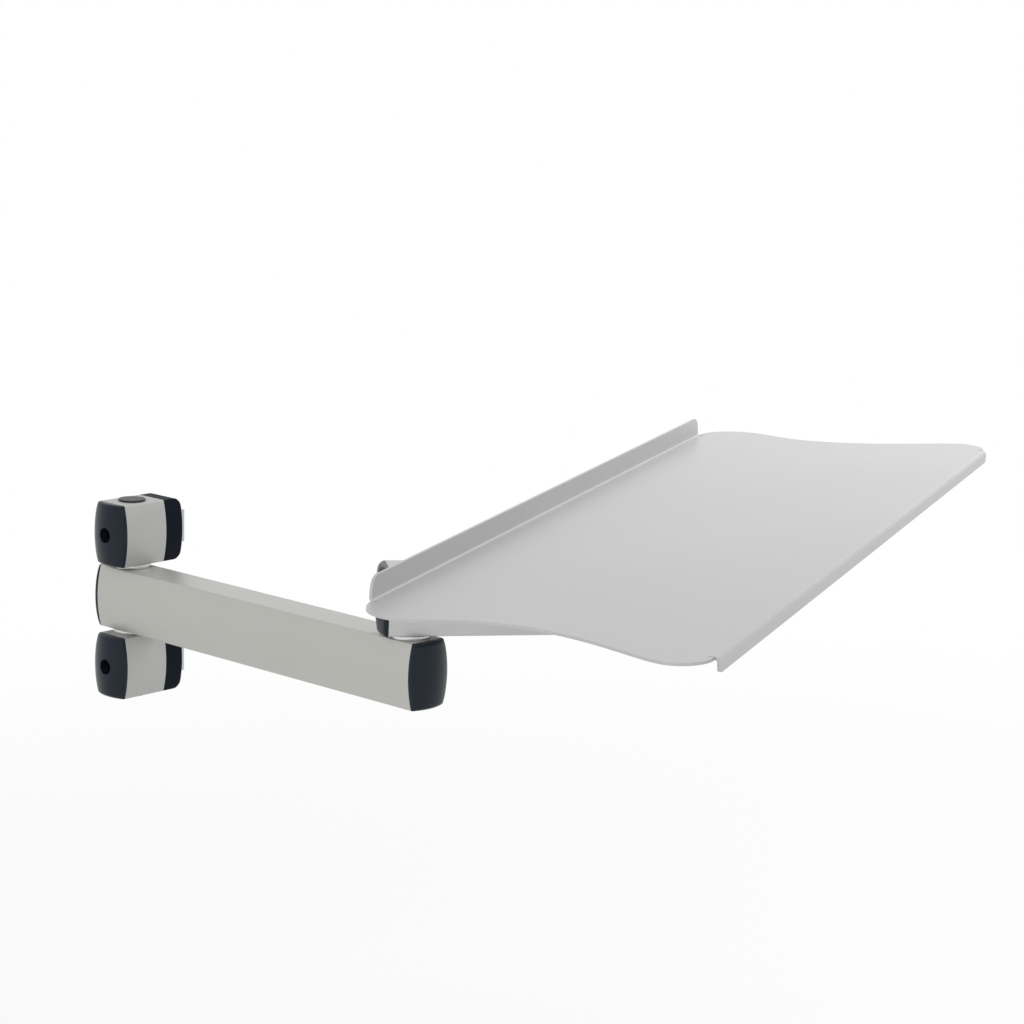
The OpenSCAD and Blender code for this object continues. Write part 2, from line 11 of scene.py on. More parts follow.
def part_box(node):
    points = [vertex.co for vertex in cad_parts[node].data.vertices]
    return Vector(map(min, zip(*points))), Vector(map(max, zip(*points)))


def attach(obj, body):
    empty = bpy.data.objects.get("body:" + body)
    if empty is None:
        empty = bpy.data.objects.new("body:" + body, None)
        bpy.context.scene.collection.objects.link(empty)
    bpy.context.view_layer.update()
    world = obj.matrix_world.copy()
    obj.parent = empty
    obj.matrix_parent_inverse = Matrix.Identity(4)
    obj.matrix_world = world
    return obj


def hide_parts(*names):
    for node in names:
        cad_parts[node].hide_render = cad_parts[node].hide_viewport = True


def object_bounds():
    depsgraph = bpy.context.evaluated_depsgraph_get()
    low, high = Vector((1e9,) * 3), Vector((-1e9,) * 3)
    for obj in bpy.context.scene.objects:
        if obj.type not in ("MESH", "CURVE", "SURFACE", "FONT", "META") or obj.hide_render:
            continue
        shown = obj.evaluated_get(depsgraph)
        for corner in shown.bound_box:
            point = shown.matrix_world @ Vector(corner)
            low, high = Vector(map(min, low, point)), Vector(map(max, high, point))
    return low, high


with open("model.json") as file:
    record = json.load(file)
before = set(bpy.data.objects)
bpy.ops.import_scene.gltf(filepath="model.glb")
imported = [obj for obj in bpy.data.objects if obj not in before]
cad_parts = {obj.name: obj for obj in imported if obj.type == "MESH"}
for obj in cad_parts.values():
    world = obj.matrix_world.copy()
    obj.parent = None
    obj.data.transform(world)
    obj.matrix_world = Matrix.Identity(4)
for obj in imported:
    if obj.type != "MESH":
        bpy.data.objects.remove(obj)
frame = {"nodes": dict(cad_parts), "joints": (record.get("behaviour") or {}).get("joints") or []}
cad_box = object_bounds()
mm = 0.001

# Camera: a long lens to the right of the clamp and a little above the tray, leaning by a degree
# and a half. It looks across the tray's length.
azimuth, elevation, roll = np.radians([42.79, 11.10, 1.448])
camera_place = (1.3218, -1.1149, 0.3915)
look = np.array([
    -np.sin(azimuth) * np.cos(elevation), np.cos(azimuth) * np.cos(elevation), -np.sin(elevation)
])
level = np.array([np.cos(azimuth), np.sin(azimuth), 0.0])
above = np.cross(level, look)
to_right = np.cos(roll) * level + np.sin(roll) * above
to_top = np.cos(roll) * above - np.sin(roll) * level
lens_data = bpy.data.cameras.new("camera")
lens_data.sensor_width = 36
lens_data.lens = 99.51
camera = bpy.data.objects.new("camera", lens_data)
bpy.context.scene.collection.objects.link(camera)
camera.matrix_world = (
    Matrix.Translation(camera_place)
    @ Matrix(np.column_stack([to_right, to_top, -look]).tolist()).to_4x4()
)
bpy.context.scene.camera = camera
bpy.context.scene.view_settings.view_transform = "Standard"


# Studio: a white world and a pale floor below the arms, with soft lamps above and in front. The
# camera, gloss and glass see plain white, and the floor still takes a faint shadow.
class Field:
    """A shader socket that can be added, subtracted, multiplied, divided and raised with numbers or
    other fields. Each of these adds one Math node."""

    def __init__(self, socket):
        self.socket = socket

    def make(self, kind, settings, links, output=0):
        """Adds a node of a kind to the same tree: its settings first, then values or links."""
        node = self.socket.id_data.nodes.new(kind)
        for name, value in settings.items():
            setattr(node, name, value)
        for name, value in links.items():
            if isinstance(value, Field):
                self.socket.id_data.links.new(value.socket, node.inputs[name])
            else:
                node.inputs[name].default_value = value
        return Field(node.outputs[output]) if node.outputs else None

    def math(self, operation, first, second):
        return self.make("ShaderNodeMath", {"operation": operation}, {0: first, 1: second})

    def __add__(self, other):
        return self.math("ADD", self, other)

    def __sub__(self, other):
        return self.math("SUBTRACT", self, other)

    def __rsub__(self, other):
        return self.math("SUBTRACT", other, self)

    def __mul__(self, other):
        return self.math("MULTIPLY", self, other)

    def __truediv__(self, other):
        return self.math("DIVIDE", self, other)

    def __pow__(self, other):
        return self.math("POWER", self, other)

    __radd__ = __add__
    __rmul__ = __mul__


def seen_directly(tree):
    """One where a camera, gloss or glass ray arrives, else nought."""
    path = tree.nodes.new("ShaderNodeLightPath")
    return (
        Field(path.outputs["Is Camera Ray"])
        + Field(path.outputs["Is Glossy Ray"])
        + Field(path.outputs["Is Transmission Ray"])
    )


world = bpy.data.worlds.new("studio")
bpy.context.scene.world = world
world.use_nodes = True
world.node_tree.nodes.clear()
seen = seen_directly(world.node_tree)
soft_light = seen.make("ShaderNodeBackground", {}, {"Color": (1, 1, 1, 1), "Strength": 0.36})
white = seen.make("ShaderNodeBackground", {}, {"Color": (1, 1, 1, 1), "Strength": 1.0})
shown = seen.make("ShaderNodeMixShader", {}, {0: seen, 1: soft_light, 2: white})
shown.make("ShaderNodeOutputWorld", {}, {"Surface": shown})

floor_mesh = bpy.data.meshes.new("floor")
reach = 30.0
floor_z = -0.32
floor_mesh.from_pydata(
    [
        (-reach, -reach, floor_z), (reach, -reach, floor_z),
        (reach, reach, floor_z), (-reach, reach, floor_z),
    ],
    [],
    [(0, 1, 2, 3)],
)
floor = bpy.data.objects.new("floor", floor_mesh)
bpy.context.scene.collection.objects.link(floor)
floor_paint = bpy.data.materials.new("pale_floor")
floor_paint.use_nodes = True
floor_paint.node_tree.nodes.clear()
seen = seen_directly(floor_paint.node_tree)
middle = (cad_box[0] + cad_box[1]) / 2
spot = Field(floor_paint.node_tree.nodes.new("ShaderNodeTexCoord").outputs["Object"])
away = spot.make("ShaderNodeVectorMath", {"operation": "DISTANCE"}, {0: spot, 1: middle}, "Value")
fade = away.make(
    "ShaderNodeMapRange", {"interpolation_type": "SMOOTHSTEP"},
    {"Value": away, "From Min": 0.5, "From Max": 1.5, "To Min": 0.84, "To Max": 1.0},
)
matt = seen.make("ShaderNodeBsdfDiffuse", {}, {"Color": (0.88, 0.88, 0.88, 1)})
glow = seen.make("ShaderNodeEmission", {}, {"Color": (1, 1, 1, 1), "Strength": 1.0})
laid = seen.make("ShaderNodeMixShader", {}, {0: seen * fade, 1: matt, 2: glow})
laid.make("ShaderNodeOutputMaterial", {}, {"Surface": laid})
floor_mesh.materials.append(floor_paint)


def lamp(name, place, aim, size, power):
    """A square soft lamp at place that faces aim. Gloss shows the white world and not the lamp, so
    that pale metal never burns out."""
    data = bpy.data.lights.new(name, "AREA")
    data.size = size
    data.energy = power
    made = bpy.data.objects.new(name, data)
    bpy.context.scene.collection.objects.link(made)
    made.visible_glossy = False
    made.location = place
    made.rotation_euler = (Vector(aim) - Vector(place)).to_track_quat("-Z", "Y").to_euler()


lamp("lamp_above", middle + Vector((0.1, 0.7, 0.8)), middle + Vector((0, 0.3, 0)), 0.8, 9)
lamp("lamp_front", middle + Vector((0.5, -2.0, 0.7)), middle, 1.6, 17)
lamp("lamp_right", middle + Vector((2.0, 0.7, 0.5)), middle, 1.6, 4)


# Clamp blocks: two short lengths of the extruded aluminium section, bored along for the clamp
# screw and natural anodised. They stand above and below the first arm and hold its pivot pin.
arm_low, arm_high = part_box("arm_tube")
disc_low, disc_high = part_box("elbow_disc")
block_low, block_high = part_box("upper_block")
cap_low, cap_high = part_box("upper_front_cap")
half_high = (arm_high.z - arm_low.z) / 2
half_wide = (arm_high.y - arm_low.y) / 2
disc_inset = 0.05 * mm
half_flat = (disc_high.x - disc_low.x) / 2 + disc_inset
bulge = half_wide - half_flat
bulge_r = (half_high**2 + bulge**2) / (2 * bulge)
bulge_off = bulge_r - half_wide
wall = 2.4 * mm
edge_r, least_edge_r = 0.9 * mm, 0.05 * mm
saw_edge = 0.15 * mm
block_z = (block_low.z + block_high.z) / 2
block_front = -block_low.y
block_back = -block_high.y
pocket = 3 * mm
shank_bore_r, head_bore_r = 4.3 * mm, 6.8 * mm
head_seat = block_front - 5.8 * mm


def section(inset, edge=edge_r):
    """Closed outline of the hollow section, drawn in by inset, as points across and up. A quarter is
    an arc up the bulging side, a small round of radius edge that leaves it at a tangent, and the
    flat top; the other quarters mirror it."""
    edge = max(edge - inset, least_edge_r)
    side_r = bulge_r - inset
    top = half_high - inset
    round_z = top - edge
    round_y = np.sqrt((side_r - edge) ** 2 - round_z**2) - bulge_off
    lean = np.arctan2(round_z, round_y + bulge_off)
    rise = np.linspace(0, lean, 13)[:-1]
    turn = np.linspace(lean, np.pi / 2, 7)
    flat = np.linspace(round_y, 0, 8)[1:]
    y = np.concatenate([side_r * np.cos(rise) - bulge_off, round_y + edge * np.cos(turn), flat])
    z = np.concatenate([side_r * np.sin(rise), round_z + edge * np.sin(turn), np.full(7, top)])
    quarter = np.stack([y, z], 1)
    left = quarter[::-1] * [-1, 1]
    return np.concatenate([quarter[:-1], left[:-1], -quarter[:-1], -left[:-1]])


def circle(radius):
    """Circle whose points lie in the same directions as those of the section's outline."""
    outline = section(0)
    return outline / np.linalg.norm(outline, axis=1)[:, None] * radius


def ring(station, outline):
    """Outline stood up across the piece at a station along it, one for all or one for each point."""
    return np.column_stack([np.broadcast_to(station, len(outline)), outline])


def placed(points, origin, heading):
    """Points from a piece's own axes, +X along it and +Z up, turned about the vertical by heading
    and moved to origin."""
    c, s = np.cos(heading), np.sin(heading)
    return points @ np.array([[c, s, 0], [-s, c, 0], [0, 0, 1]]) + np.array(origin)


def piece(name, grids, body, nodes, finish, sharp=35):
    """One mesh of grids of points, each with whether its rows and its columns close on themselves.
    Every cell of a grid is a face, points that meet are merged, and the faces are turned outwards."""
    points, faces, start = [], [], 0
    for grid, (rows_close, columns_close) in grids:
        rows, columns = grid.shape[:2]
        i, j = np.meshgrid(
            np.arange(rows if rows_close else rows - 1),
            np.arange(columns if columns_close else columns - 1),
            indexing="ij",
        )
        below, beside = (i + 1) % rows, (j + 1) % columns
        corners = [i * columns + j, below * columns + j, below * columns + beside, i * columns + beside]
        faces.append(start + np.stack(corners, -1).reshape(-1, 4))
        points.append(grid.reshape(-1, 3))
        start += rows * columns
    mesh = bpy.data.meshes.new(name)
    mesh.from_pydata(np.concatenate(points).tolist(), [], np.concatenate(faces).tolist())
    shell = bmesh.new()
    shell.from_mesh(mesh)
    bmesh.ops.remove_doubles(shell, verts=shell.verts, dist=2e-6)
    bmesh.ops.recalc_face_normals(shell, faces=shell.faces)
    shell.to_mesh(mesh)
    shell.free()
    mesh.shade_smooth()
    mesh.set_sharp_from_angle(angle=np.radians(sharp))
    mesh.materials.append(finish)
    made = bpy.data.objects.new(name, mesh)
    bpy.context.scene.collection.objects.link(made)
    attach(made, body)
    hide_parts(*nodes)
    return made


def finish_of(name, metallic, settings):
    """A new material: its Principled shader, with sockets that are the same all over set on it, and
    the object coordinates that its patterns read."""
    material = bpy.data.materials.new(name)
    material.use_nodes = True
    shader = material.node_tree.nodes["Principled BSDF"]
    shader.inputs["Metallic"].default_value = metallic
    for socket, value in settings.items():
        shader.inputs[socket].default_value = value
    place = Field(material.node_tree.nodes.new("ShaderNodeTexCoord").outputs["Object"])
    return material, shader, place


def paint(shader, **fields):
    """Links fields to the shader's sockets; an underscore in a name stands for a space."""
    for name, field in fields.items():
        shader.id_data.links.new(field.socket, shader.inputs[name.replace("_", " ")])


def noise(place, scale, detail=2.0, turn=0.0, stretch=(1, 1, 1)):
    """Noise from nought to one. Its pattern is turned about the vertical and stretched along axes."""
    aligned = place.make(
        "ShaderNodeMapping", {"vector_type": "TEXTURE"}, {"Vector": place, "Rotation": (0, 0, turn)}
    )
    drawn = aligned.make("ShaderNodeVectorMath", {"operation": "DIVIDE"}, {0: aligned, 1: stretch})
    return drawn.make("ShaderNodeTexNoise", {}, {"Vector": drawn, "Scale": scale, "Detail": detail})


def tint(amount, low, high):
    """Colour between low and high by an amount from nought to one."""
    return amount.make(
        "ShaderNodeMix",
        {"data_type": "RGBA"},
        {0: amount, 6: (*low, 1), 7: (*high, 1)},
        2,
    )


def relief(height, strength, distance):
    """Normal of a surface that rises with height."""
    return height.make(
        "ShaderNodeBump", {}, {"Strength": strength, "Distance": distance, "Height": height}
    )


def anodised(name, turn, low, high):
    """Satin natural-anodised aluminium between two tones given for each part: etched grain, with faint
    die lines along the extrusion. The second arm's lighter, cooler tones are painted light, standing in
    for the brighter light it catches from its surroundings."""
    material, shader, place = finish_of(name, 0.45, {"IOR": 1.5})
    lines = noise(place, 900, 3.0, turn, (60, 1, 1))
    grain = noise(place, 4200, 2.0)
    cloud = noise(place, 22, 3.0)
    shade = lines * 0.45 + cloud * 0.4 + grain * 0.15
    paint(
        shader,
        Base_Color=tint(shade, low, high),
        Roughness=lines * 0.10 + grain * 0.08 + 0.36,
        Normal=relief(lines * 0.6 + grain * 0.4, 0.25, 0.00004),
    )
    return material


block_finish = anodised("anodised_blocks", np.pi / 2, (0.445, 0.445, 0.438), (0.52, 0.52, 0.512))
for side, node in ((1, "upper_block"), (-1, "lower_block")):
    rings = np.stack([
        ring(block_back, section(saw_edge)),
        ring(block_back + saw_edge, section(0)),
        ring(block_front - saw_edge, section(0)),
        ring(block_front, section(saw_edge)),
        ring(block_front, section(wall, 0)),
        ring(block_front - pocket, section(wall, 0)),
        ring(block_front - pocket, circle(head_bore_r)),
        ring(head_seat, circle(head_bore_r)),
        ring(head_seat, circle(shank_bore_r)),
        ring(block_back, circle(shank_bore_r)),
    ])
    shell = placed(rings, (0, 0, side * block_z), -np.pi / 2)
    piece(node + "_body", [(shell, (True, True))], "clamp", [node], block_finish)


# Front caps: moulded black plastic domes that close the blocks, crowned both ways, with a hole
# for the hex key. A tongue behind each one holds it in its block.
cap_len = block_low.y - cap_low.y
dome = 4.0 * mm
crown = 1.6 * mm
dome_r = (half_wide**2 + dome**2) / (2 * dome)
crown_r = (half_high**2 + crown**2) / (2 * crown)
side_soft, top_soft = 0.8 * mm, 2.0 * mm
key_hole_r, key_hole_edge = 4.65 * mm, 0.3 * mm
tongue_gap = 0.1 * mm


def dome_height(outline):
    """Height of the dome over its back: an arc from top to bottom, turned about a vertical axis."""
    reach_out = dome_r - crown_r + np.sqrt(crown_r**2 - outline[:, 1] ** 2)
    return cap_len - dome_r + np.sqrt(reach_out**2 - outline[:, 0] ** 2)


def domed_end(height, at_side, at_top, inner, steps=12):
    """Rings from the outline's rim to the inner outline. The rim is drawn in along a quarter round,
    whose radius grows from at_side at mid height to at_top with the eighth power of the height. Its
    rise is cut down where the end is low. It then blends to the inner outline."""
    rim, far_in = section(0), section(at_top)
    soft = at_side + (at_top - at_side) * np.abs(rim[:, 1] / half_high) ** 8
    rise = np.minimum(soft, 0.8 * height(rim))
    rings = []
    for turn in np.linspace(0, np.pi / 2, 9):
        drawn = rim + (far_in - rim) * (soft / at_top * (1 - np.cos(turn)))[:, None]
        rings.append(ring(height(drawn) - rise * (1 - np.sin(turn)), drawn))
    for share in np.linspace(0, 1, steps)[1:]:
        blend = drawn + (inner - drawn) * share
        rings.append(ring(height(blend), blend))
    return rings


def moulded(name, low, high, rough, gloss=0.2):
    """Moulded plastic with a fine spark-eroded grain and a soft sheen."""
    material, shader, place = finish_of(name, 0.0, {"IOR": 1.5, "Specular IOR Level": gloss})
    grain = noise(place, 2600, 3.0)
    cloud = noise(place, 45, 2.0)
    paint(
        shader,
        Base_Color=tint(cloud * 0.7 + grain * 0.3, low, high),
        Roughness=grain * 0.12 + cloud * 0.06 + rough,
        Normal=relief(grain, 0.2, 0.00005),
    )
    return material


cap_finish = moulded("black_caps", (0.007, 0.013, 0.022), (0.013, 0.020, 0.030), 0.18)
for side, node in ((1, "upper_front_cap"), (-1, "lower_front_cap")):
    rings = np.stack([
        ring(0, section(0)),
        *domed_end(dome_height, side_soft, top_soft, circle(key_hole_r + key_hole_edge)),
        ring(dome_height(circle(key_hole_r)) - key_hole_edge, circle(key_hole_r)),
        ring(0, circle(key_hole_r)),
        ring(0, circle(head_bore_r)),
        ring(tongue_gap - pocket, circle(head_bore_r)),
        ring(tongue_gap - pocket, section(wall + tongue_gap, 0)),
        ring(0, section(wall + tongue_gap, 0)),
    ])
    shell = placed(rings, (0, -block_front, side * block_z), -np.pi / 2)
    piece(node + "_dome", [(shell, (True, True))], "clamp", [node], cap_finish)


# Spacers: black plastic blocks behind the clamp blocks, of the same section and bored for the
# same screws, with their upper and lower edges rounded off at the mounting face.
spacer_round, spacer_soft = 5.0 * mm, 1.0 * mm
spacer_len = block_back


def spacer_height(outline):
    """Height of a spacer over the block's back, less the rounding at its top and bottom."""
    over = np.clip(np.abs(outline[:, 1]) - half_high + spacer_round, 0, spacer_round)
    return spacer_len - spacer_round + np.sqrt(spacer_round**2 - over**2)


spacer_finish = moulded("black_spacers", (0.003, 0.005, 0.011), (0.006, 0.008, 0.016), 0.45, 0.08)
for side, node in ((1, "upper_spacer"), (-1, "lower_spacer")):
    rings = np.stack([
        ring(0, section(0)),
        *domed_end(spacer_height, spacer_soft, spacer_soft, circle(shank_bore_r)),
        ring(0, circle(shank_bore_r)),
    ])
    shell = placed(rings, (0, -block_back, side * block_z), np.pi / 2)
    piece(node + "_body", [(shell, (True, True))], "clamp", [node], spacer_finish)


# Friction discs: turned steel washers, plated bright, between the clamp and the first arm, at the
# elbow and under the tray. Their rims are rounded and polished.
def turned(profile, centre, count=96):
    """Grid of a profile of radius and height turned about the vertical line through centre."""
    profile = np.array(profile)
    angle = np.linspace(0, 2 * np.pi, count, endpoint=False)
    radius, height = profile[:, 0, None], profile[:, 1, None]
    grid = np.stack([radius * np.cos(angle), radius * np.sin(angle), height + 0 * angle], -1)
    return grid + np.array(centre)


def soften(made, width, segments=3, angle=30):
    """Rounds a piece's sharp edges with a bevel."""
    bevel = made.modifiers.new("soft_edges", "BEVEL")
    bevel.width = width
    bevel.segments = segments
    bevel.limit_method = "ANGLE"
    bevel.angle_limit = np.radians(angle)
    bevel.harden_normals = True
    return made


def plated(name, low, high, rough):
    """Bright plate over turned steel, with faint turning lines and a few hazy patches."""
    material, shader, place = finish_of(name, 0.95, {})
    haze = noise(place, 160, 3.0)
    fine = noise(place, 1500, 3.0, 0, (1, 1, 0.12))
    paint(
        shader,
        Base_Color=tint(haze * 0.6 + fine * 0.4, low, high),
        Roughness=haze * 0.10 + fine * 0.08 + rough,
        Normal=relief(fine, 0.2, 0.00003),
    )
    return material


plate_finish = plated("bright_plate", (0.63, 0.63, 0.64), (0.77, 0.77, 0.78), 0.24)
axes = {joint["name"]: Vector(joint["pos_m"]) for joint in frame["joints"]}
disc_t = disc_high.z - disc_low.z
pin_hole_r, bolt_hole_r = 7.1 * mm, 5.1 * mm
rim_round = 0.5 * mm


def disc_grid(low, high, bore, centre):
    """Washer between two heights. Its rim is a half ellipse: widest at mid height, and drawn in by
    rim_round at the faces."""
    radius, half = half_flat - disc_inset, (high - low) / 2
    turn = np.linspace(-np.pi / 2, np.pi / 2, 9)
    rim = np.stack([radius - rim_round * (1 - np.cos(turn)), low + half * (1 + np.sin(turn))], 1)
    profile = np.concatenate([[[bore, low]], rim, [[bore, high]]])
    return turned(profile, (centre.x, centre.y, 0)), (True, True)


clamp_disc_low, clamp_disc_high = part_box("clamp_discs")
piece(
    "clamp_friction_discs",
    [
        disc_grid(clamp_disc_low.z, clamp_disc_low.z + disc_t, pin_hole_r, axes["arm_swing"]),
        disc_grid(clamp_disc_high.z - disc_t, clamp_disc_high.z, pin_hole_r, axes["arm_swing"]),
    ],
    "clamp", ["clamp_discs"], plate_finish,
)
for node, body, axis in (("elbow_disc", "arm", "elbow_swing"), ("tray_disc", "link", "tray_swivel")):
    low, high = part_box(node)
    washer = disc_grid(low.z, high.z, bolt_hole_r, axes[axis])
    piece(node + "_plated", [washer], body, [node], plate_finish)


# Plugs: black plastic buttons pressed into the bores over and under the pivots. Their flat crowns
# lie on the metal and have a fine round edge; the one over the elbow is nearly flush.
plug_bore_r = 7 * mm
raised_plug = {"plug_r": 8.3 * mm, "plug_h": 1.1 * mm}
flush_plug = {"plug_r": 7.1 * mm, "plug_h": 0.45 * mm}


def plug_grid(metal_z, out, stem_r, centre, plug_r, plug_h):
    """Button on the metal at metal_z: a stem, and a flat crown that stands out by plug_h, up or
    down, with its edge rounded along a quarter circle."""
    stem_len = 2.3 * mm
    edge = 0.22 * plug_h
    turn = np.linspace(0, np.pi / 2, 7)
    rounded = np.stack([plug_r - edge + edge * np.cos(turn), plug_h - edge + edge * np.sin(turn)], 1)
    profile = np.concatenate([
        [[0, -stem_len], [stem_r, -stem_len], [stem_r, 0], [plug_r, 0]],
        rounded,
        [[0.6 * plug_r, plug_h], [0, plug_h]],
    ])
    profile[:, 1] = metal_z + out * profile[:, 1]
    return turned(profile, (centre.x, centre.y, 0), 72), (False, True)


plug_finish = moulded("black_plugs", (0.018, 0.019, 0.022), (0.030, 0.031, 0.036), 0.30, 0.17)
arm_axis, elbow_axis, tray_axis = axes["arm_swing"], axes["elbow_swing"], axes["tray_swivel"]
link_low, link_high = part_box("link_tube")
piece(
    "clamp_plug_buttons",
    [
        plug_grid(block_high.z, 1, plug_bore_r - tongue_gap, arm_axis, **raised_plug),
        plug_grid(-block_high.z, -1, plug_bore_r - tongue_gap, arm_axis, **raised_plug),
    ],
    "clamp", ["clamp_plugs"], plug_finish,
)
piece(
    "arm_plug_button", [plug_grid(arm_low.z, -1, plug_bore_r, elbow_axis, **raised_plug)],
    "arm", ["arm_plug"], plug_finish,
)
piece(
    "link_plug_buttons",
    [
        plug_grid(link_high.z, 1, plug_bore_r - tongue_gap, elbow_axis, **flush_plug),
        plug_grid(link_low.z, -1, plug_bore_r, tray_axis, **raised_plug),
    ],
    "link", ["link_plugs"], plug_finish,
)


# First arm: a length of the hollow extruded section, sawn square and anodised, with black domed
# caps whose tongues grip inside its walls.
def hollow(start, end):
    """Rings of a hollow length from start to end, round its outside and back along its inside."""
    saw = 0.2 * mm
    stations = np.linspace(start + saw, end - saw, 12)
    return np.stack(
        [ring(start, section(wall, 0)), ring(start, section(saw))]
        + [ring(station, section(0)) for station in stations]
        + [ring(end, section(saw)), ring(end, section(wall, 0))]
    )


def arm_cap(tongue_len):
    """Rings of a cap without a hole: from the middle of its dome, over the rim and the back, round
    its tongue and to the middle of its back."""
    dot = section(0) * 0
    tongue_out = wall + tongue_gap
    tongue_in = tongue_out + 1.6 * mm
    return np.stack([
        *domed_end(dome_height, side_soft, top_soft, dot)[::-1],
        ring(0, section(0)),
        ring(0, section(tongue_out, 0)),
        ring(-tongue_len, section(tongue_out, 0)),
        ring(-tongue_len, section(tongue_in, 0)),
        ring(0, section(tongue_in, 0)),
        ring(0, dot),
    ])


arm_centre = (0, arm_axis.y, (arm_low.z + arm_high.z) / 2)
arm_finish = anodised("anodised_first_arm", 0.0, (0.488, 0.488, 0.458), (0.568, 0.568, 0.538))
tube = placed(hollow(arm_low.x, arm_high.x), arm_centre, 0)
piece("arm_extrusion", [(tube, (True, True))], "arm", ["arm_tube"], arm_finish)
half_core = 10.5 * mm
inner_end = (arm_low.x, arm_axis.y, arm_centre[2])
outer_end = (arm_high.x, arm_axis.y, arm_centre[2])
inner_tongue = -arm_low.x - half_core - tongue_gap
outer_tongue = arm_high.x - elbow_axis.x - half_core - tongue_gap
piece(
    "arm_inner_dome", [(placed(arm_cap(inner_tongue), inner_end, np.pi), (False, True))],
    "arm", ["arm_inner_cap"], cap_finish,
)
piece(
    "arm_outer_dome", [(placed(arm_cap(outer_tongue), outer_end, 0), (False, True))],
    "arm", ["arm_outer_cap"], cap_finish,
)


# Second arm: a shorter length of the same section with the same caps. It turns on top of the
# first at the elbow and runs under the tray.
link_turn = np.arctan2(tray_axis.y - elbow_axis.y, tray_axis.x - elbow_axis.x)
link_reach = np.hypot(tray_axis.y - elbow_axis.y, tray_axis.x - elbow_axis.x)
link_tail, link_nose = 14 * mm, 14.6 * mm
link_centre = (elbow_axis.x, elbow_axis.y, (link_low.z + link_high.z) / 2)
along = np.array([np.cos(link_turn), np.sin(link_turn), 0])
# Painted light: the second arm's tones are lighter and cooler than the first arm's, standing in for the
# brighter light it catches from its surroundings.
link_painted_light_finish = anodised("anodised_second_arm_painted_lighter", link_turn, (0.52, 0.52, 0.515), (0.60, 0.60, 0.595))
tube = placed(hollow(-link_tail, link_reach + link_nose), link_centre, link_turn)
piece("link_extrusion", [(tube, (True, True))], "link", ["link_tube"], link_painted_light_finish)
for name, over, station, heading, node in (
    ("link_inner_dome", link_tail, -link_tail, link_turn + np.pi, "link_inner_cap"),
    ("link_outer_dome", link_nose, link_reach + link_nose, link_turn, "link_outer_cap"),
):
    cap = arm_cap(over - half_core - tongue_gap)
    shell = placed(cap, np.array(link_centre) + station * along, heading)
    piece(name, [(shell, (False, True))], "link", [node], cap_finish)


# Tray: one sheet of steel, cut with waisted ends, its rear edge folded up and its front edge
# folded down between round-ended reliefs, and coated fine silver. The arms carry it near its middle.
tray_turn = np.radians(112.6)
sheet_t = 1.5 * mm
sheet_low, sheet_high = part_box("tray_sheet")
bracket_low, bracket_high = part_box("tray_bracket")
tray_under = bracket_high.z
flat_z = tray_under + sheet_t / 2
rear_y = 95.4 * mm
depth = 185.3 * mm
rear_lip, front_lip = 544.6 * mm, 613 * mm
rear_w, waist_w, front_w = 601 * mm, 576 * mm, 650.6 * mm
rear_corner, waist_at, front_corner = 24 * mm, 72 * mm, 19.4 * mm
fold_r = 1.2 * mm + sheet_t / 2
relief_w, relief_depth = 1.2 * mm, 3 * mm
rear_lip_h, rear_lip_corner = 10.7 * mm, 8 * mm
front_lip_h, front_lip_corner = 4.8 * mm, 3.5 * mm
seam_bend, seam_run = 100 * mm, 75 * mm
fold_back = fold_r - sheet_t / 2
fold_front = fold_r + sheet_t / 2


def stretch(start, handle_in, handle_out, end, count=26):
    """Points of one cubic stretch of the end's outline, without its last: its four points weighted
    by (1-t)^3, 3t(1-t)^2, 3t^2(1-t) and t^3."""
    t = np.linspace(0, 1, count, endpoint=False)[:, None]
    left = 1 - t
    return left**3 * start + 3 * t * left**2 * handle_in + 3 * t**2 * left * handle_out + t**3 * end


# Outline of one end from the rear relief to the front one, as points outwards and forwards. Each
# handle is a share of the way to the next point, straight outwards or straight forwards.
rear_end = np.array([rear_lip / 2 + relief_w, 0])
rear_out = np.array([rear_w / 2, rear_corner])
waist = np.array([waist_w / 2, waist_at])
front_out = np.array([front_w / 2, depth - front_corner])
front_end = np.array([front_lip / 2 + relief_w, depth - fold_front])
out, forward = np.array([1.0, 0.0]), np.array([0.0, 1.0])
to_waist, to_front = waist_at - rear_corner, front_out[1] - waist_at
outline = np.concatenate([
    stretch(
        rear_end, rear_end + 0.55 * (rear_out - rear_end) * out,
        rear_out - 0.55 * rear_corner * forward, rear_out,
    ),
    stretch(rear_out, rear_out + 0.39 * to_waist * forward, waist - 0.48 * to_waist * forward, waist),
    stretch(waist, waist + 0.47 * to_front * forward, front_out - 0.16 * to_front * forward, front_out),
    stretch(
        front_out, front_out + 0.55 * (front_end - front_out) * forward,
        front_end + 0.5 * (front_out - front_end) * out, front_end,
    ),
    [front_end],
])

# The reliefs are slots between the middle of the sheet and its ends, and a seam joins the middle to
# the ends from slot to slot. The sheet has a row of points at each place where an outline turns.
slot_mid = relief_w / 2
rear_slot = fold_back + relief_depth
front_slot = front_end[1] - relief_depth
slot_turn = slot_mid * np.sin(np.linspace(0, np.pi / 2, 7))
slot_rows = np.concatenate([
    [fold_back], rear_slot - slot_mid + slot_turn, front_slot + slot_mid - slot_turn[::-1],
])
rows = np.unique(np.round(np.concatenate([outline[:, 1], slot_rows]), 8))
half_width = np.interp(rows, outline[:, 1], outline[:, 0])
into_rear = np.clip(rows - rear_slot + slot_mid, 0, slot_mid)
into_front = np.clip(front_slot + slot_mid - rows, 0, slot_mid)
slot_gap = np.where(
    rows < rear_slot, np.sqrt(slot_mid**2 - into_rear**2),
    np.where(rows > front_slot, np.sqrt(slot_mid**2 - into_front**2), 0),
)
ease = np.clip((rows - seam_bend) / seam_run, 0, 1)
seam = (rear_lip + (front_lip - rear_lip) * ease**2 * (3 - 2 * ease)) / 2 + slot_mid

